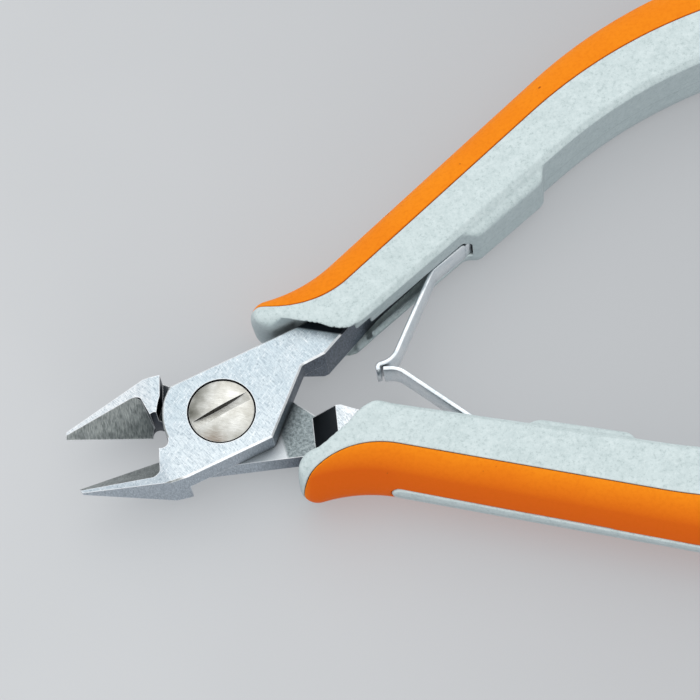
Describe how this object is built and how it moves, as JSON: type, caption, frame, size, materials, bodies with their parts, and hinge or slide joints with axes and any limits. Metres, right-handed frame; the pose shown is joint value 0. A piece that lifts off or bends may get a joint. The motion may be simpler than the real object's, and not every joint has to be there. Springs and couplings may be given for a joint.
{
  "type": "diagonal cutting pliers",
  "caption": "Electronics side cutter with lap joint, slotted pivot screw, two-material handles and interlocked leaf springs, open at rest.",
  "frame": {"origin": "where the pivot axis meets the flat underside of the joint", "axes": "-X to the jaw tips, +X to the handles, +Y to the handle of the half that holds the screw head, +Z to the screw head"},
  "size_m": [0.1325, 0.0768, 0.0104],
  "materials": {
    "forged_steel": "satin ground steel",
    "screw_steel": "polished, turned",
    "grip_plastic": "light grey with fine speckle",
    "soft_orange": "soft matte",
    "spring_steel": "bright rolled strip"
  },
  "bodies": {
    "half_a": {"cutter_half_a": "forged_steel", "grip_a": "grip_plastic", "soft_inlay_a": "soft_orange"},
    "half_b": {"cutter_half_b": "forged_steel", "pivot_screw": "screw_steel", "grip_b": "grip_plastic", "soft_inlay_b": "soft_orange"},
    "leaf_a": {"leaf_spring_a": "spring_steel"},
    "leaf_b": {"leaf_spring_b": "spring_steel"}
  },
  "joints": [
    {"name": "pivot", "type": "hinge", "parent": "half_a", "child": "half_b", "pos_m": [0, 0, 0.0031], "axis": [0, 0, 1], "range_deg": [0, 19.8], "stiffness_Nm_per_rad": 0.2},
    {"name": "leaf_a_fold", "type": "hinge", "parent": "half_a", "child": "leaf_a", "pos_m": [0.03291, 0.01267, 0.0031], "axis": [0, 0, 1], "range_deg": [-14, 0]},
    {"name": "leaf_b_fold", "type": "hinge", "parent": "half_b", "child": "leaf_b", "pos_m": [0.03291, -0.01267, 0.0031], "axis": [0, 0, 1], "range_deg": [0, 12.2]}
  ],
  "couplings": [
    {"joint": "leaf_a_fold", "follows": "pivot", "ratio": -0.7},
    {"joint": "leaf_b_fold", "follows": "pivot", "ratio": 0.61}
  ]
}
